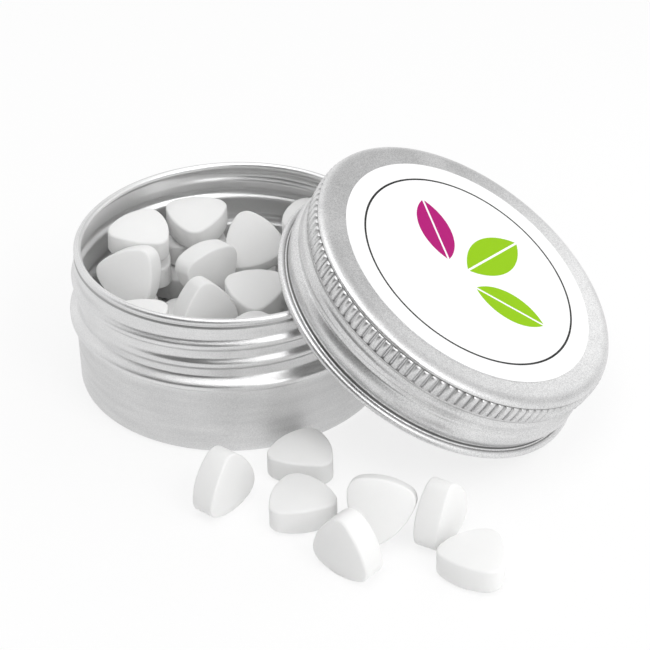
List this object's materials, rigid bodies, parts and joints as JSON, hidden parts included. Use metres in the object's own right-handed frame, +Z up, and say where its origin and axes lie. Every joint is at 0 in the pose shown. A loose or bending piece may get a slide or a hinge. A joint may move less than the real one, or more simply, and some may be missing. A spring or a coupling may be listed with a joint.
{
  "type": "mint tin",
  "caption": "Round shallow screw-top metal tin, open, with its knurled lid leaning on the rim, pressed mints heaped inside and more spilled in front.",
  "frame": {"origin": "centre of the tin's underside, on the surface it stands on", "axes": "+Z up along the tin's axis, -Y towards the spilled mints, +X towards the side the lid leans on"},
  "size_m": [0.0862, 0.0872, 0.0384],
  "materials": {
    "tin_metal": "satin",
    "lid_metal": "satin",
    "liner_foam": "foam",
    "label_paper": "smooth",
    "mint": "powdery"
  },
  "bodies": {
    "tin": {"tin_body": "tin_metal", "mint_layer_1": "mint", "mint_layer_2": "mint", "heap_mint_01": "mint", "heap_mint_02": "mint", "heap_mint_03": "mint", "heap_mint_04": "mint", "heap_mint_05": "mint", "heap_mint_06": "mint", "heap_mint_07": "mint", "heap_mint_08": "mint", "heap_mint_09": "mint", "heap_mint_10": "mint", "heap_mint_11": "mint", "heap_mint_12": "mint", "heap_mint_13": "mint", "heap_mint_14": "mint", "heap_mint_15": "mint"},
    "lid_carrier": {"lid_liner": "liner_foam"},
    "lid": {"lid_shell": "lid_metal", "lid_label": "label_paper"},
    "loose_mint_1_body": {"loose_mint_1": "mint"},
    "loose_mint_2_body": {"loose_mint_2": "mint"},
    "loose_mint_3_body": {"loose_mint_3": "mint"},
    "loose_mint_4_body": {"loose_mint_4": "mint"},
    "loose_mint_5_body": {"loose_mint_5": "mint"},
    "loose_mint_6_body": {"loose_mint_6": "mint"},
    "loose_mint_7_body": {"loose_mint_7": "mint"}
  },
  "joints": [
    {"name": "lid_swing", "type": "hinge", "parent": "tin", "child": "lid_carrier", "pos_m": [-0.00949, 0.00327, -0.03541], "axis": [-0.3256, -0.9455, 0], "range_deg": [0, 32]},
    {"name": "lid_spin", "type": "hinge", "parent": "lid_carrier", "child": "lid", "pos_m": [0.03133, -0.01079, 0.01474], "axis": [0.501, -0.1725, 0.848], "continuous": true},
    {"name": "loose_mint_1_lift", "type": "slide", "parent": "tin", "child": "loose_mint_1_body", "axis": [0, 0, 1], "range_m": [0, 0.012]},
    {"name": "loose_mint_2_lift", "type": "slide", "parent": "tin", "child": "loose_mint_2_body", "axis": [0, 0, 1], "range_m": [0, 0.012]},
    {"name": "loose_mint_3_lift", "type": "slide", "parent": "tin", "child": "loose_mint_3_body", "axis": [0, 0, 1], "range_m": [0, 0.012]},
    {"name": "loose_mint_4_lift", "type": "slide", "parent": "tin", "child": "loose_mint_4_body", "axis": [0, 0, 1], "range_m": [0, 0.012]},
    {"name": "loose_mint_5_lift", "type": "slide", "parent": "tin", "child": "loose_mint_5_body", "axis": [0, 0, 1], "range_m": [0, 0.012]},
    {"name": "loose_mint_6_lift", "type": "slide", "parent": "tin", "child": "loose_mint_6_body", "axis": [0, 0, 1], "range_m": [0, 0.012]},
    {"name": "loose_mint_7_lift", "type": "slide", "parent": "tin", "child": "loose_mint_7_body", "axis": [0, 0, 1], "range_m": [0, 0.012]}
  ]
}
